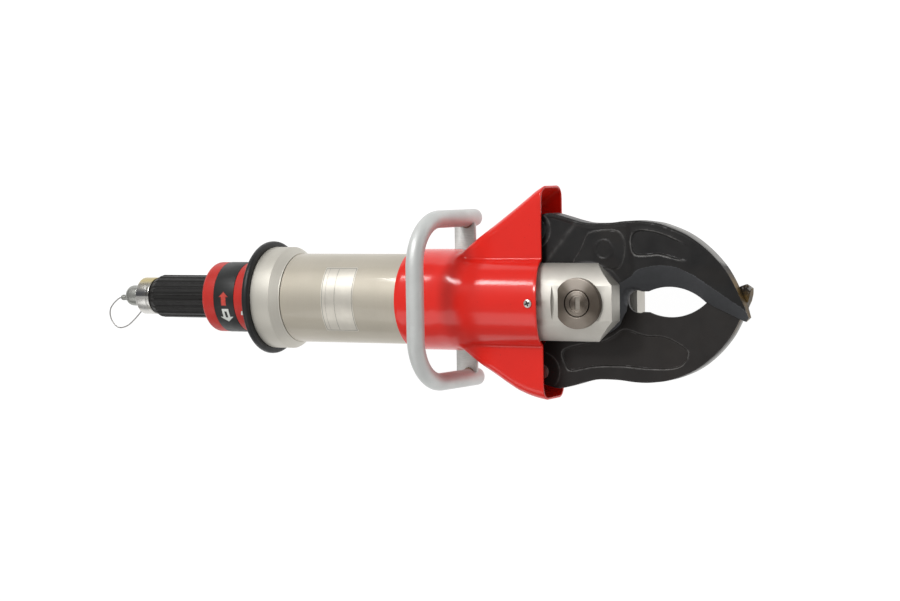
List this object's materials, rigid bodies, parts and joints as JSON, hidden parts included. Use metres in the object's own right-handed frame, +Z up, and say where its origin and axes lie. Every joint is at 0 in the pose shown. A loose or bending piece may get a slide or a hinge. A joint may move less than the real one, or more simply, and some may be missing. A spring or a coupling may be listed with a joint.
{
  "type": "hydraulic rescue cutter",
  "caption": "Hydraulic rescue cutter: scissor blades in a fork, red flared shield, round cylinder, bow handle, twist control ring and fluted grip with a capped hose coupling.",
  "frame": {"origin": "middle of the pivot nut's underside, on the pivot axis, at the level the tool lies on", "axes": "+X along the tool towards the blade tips, +Z up towards the carrying handle, +Y towards the taller shield wing"},
  "size_m": [0.8113, 0.232, 0.1812],
  "materials": {
    "cylinder_metal": "brushed around the axis",
    "fork_steel": "satin milled",
    "bolt_steel": "turned, brown steel",
    "blade_steel": "blackened forged steel, satin",
    "red_gloss": "gloss red paint",
    "red_ring": "satin red anodised",
    "handle_alu": "satin",
    "black_rubber": "matt",
    "grip_black": "satin moulded",
    "band_black": "satin",
    "coupling_zinc": "zinc plated",
    "plug_steel": "turned",
    "wire_steel": "stranded",
    "bronze": "turned",
    "plain_steel": "machined"
  },
  "bodies": {
    "frame_body": {"cylinder_tube": "cylinder_metal", "rear_housing": "cylinder_metal", "bumper_ring": "black_rubber", "fork": "fork_steel", "rod_bush": "bronze", "rod_seal": "black_rubber", "rod_wiper": "black_rubber", "transfer_tube": "plain_steel", "pivot_bolt": "bolt_steel", "pivot_nut": "bolt_steel", "lock_screw": "bolt_steel", "shield": "red_gloss", "shield_screws": "plain_steel", "shield_spacers": "black_rubber", "handle_tube": "handle_alu", "handle_bracket": "handle_alu", "bracket_screws": "plain_steel", "valve_body": "plain_steel", "return_spring": "plain_steel", "grip_sleeve": "grip_black", "coupling_body": "coupling_zinc", "poppet_spring": "plain_steel", "tether_anchor": "plug_steel", "tether_wire": "wire_steel"},
    "piston_set": {"piston": "bronze", "piston_seal": "black_rubber", "piston_nut": "plain_steel", "piston_rod": "plain_steel", "crosshead": "plain_steel"},
    "upper_blade": {"blade_upper": "blade_steel", "tail_pin_upper": "plain_steel"},
    "lower_blade": {"blade_lower": "blade_steel", "tail_pin_lower": "plain_steel"},
    "upper_link": {"link_upper": "plain_steel", "crosshead_pin": "plain_steel"},
    "lower_link": {"link_lower": "plain_steel"},
    "control": {"control_ring": "red_ring", "control_band": "band_black", "valve_rotor": "bronze", "ring_dogs": "plain_steel"},
    "plug": {"dust_plug": "plug_steel", "plug_seal": "black_rubber", "tether_ferrule": "plug_steel"},
    "poppet": {"coupling_poppet": "bronze"}
  },
  "joints": [
    {"name": "blade_upper_hinge", "type": "hinge", "parent": "frame_body", "child": "upper_blade", "pos_m": [0, 0, 0.064], "axis": [0, 0, 1], "range_deg": [-6, 22]},
    {"name": "blade_lower_hinge", "type": "hinge", "parent": "frame_body", "child": "lower_blade", "pos_m": [0, 0, 0.064], "axis": [0, 0, 1], "range_deg": [-22, 6]},
    {"name": "link_upper_hinge", "type": "hinge", "parent": "upper_blade", "child": "upper_link", "pos_m": [-0.065, 0.077, 0.064], "axis": [0, 0, 1], "range_deg": [-44.5, 12.5]},
    {"name": "link_lower_hinge", "type": "hinge", "parent": "lower_blade", "child": "lower_link", "pos_m": [-0.065, -0.077, 0.064], "axis": [0, 0, 1], "range_deg": [-12.5, 44.5]},
    {"name": "piston_slide", "type": "slide", "parent": "frame_body", "child": "piston_set", "axis": [1, 0, 0], "range_m": [-0.052, 0.0145]},
    {"name": "control_twist", "type": "hinge", "parent": "frame_body", "child": "control", "pos_m": [-0.44, 0, 0.064], "axis": [1, 0, 0], "range_deg": [-25, 25], "stiffness_Nm_per_rad": 1.2},
    {"name": "plug_pull", "type": "slide", "parent": "frame_body", "child": "plug", "axis": [-1, 0, 0], "range_m": [0, 0.03], "deforming": ["tether_wire"]},
    {"name": "poppet_push", "type": "slide", "parent": "frame_body", "child": "poppet", "axis": [1, 0, 0], "range_m": [0, 0.003], "stiffness_N_per_m": 800, "deforming": ["poppet_spring"]}
  ],
  "couplings": [
    {"joint": "blade_lower_hinge", "follows": "blade_upper_hinge", "ratio": -1},
    {"joint": "link_upper_hinge", "follows": "blade_upper_hinge", "ratio": -2.015},
    {"joint": "link_lower_hinge", "follows": "blade_upper_hinge", "ratio": 2.015},
    {"joint": "piston_slide", "follows": "blade_upper_hinge", "m_per_rad": -0.134}
  ]
}
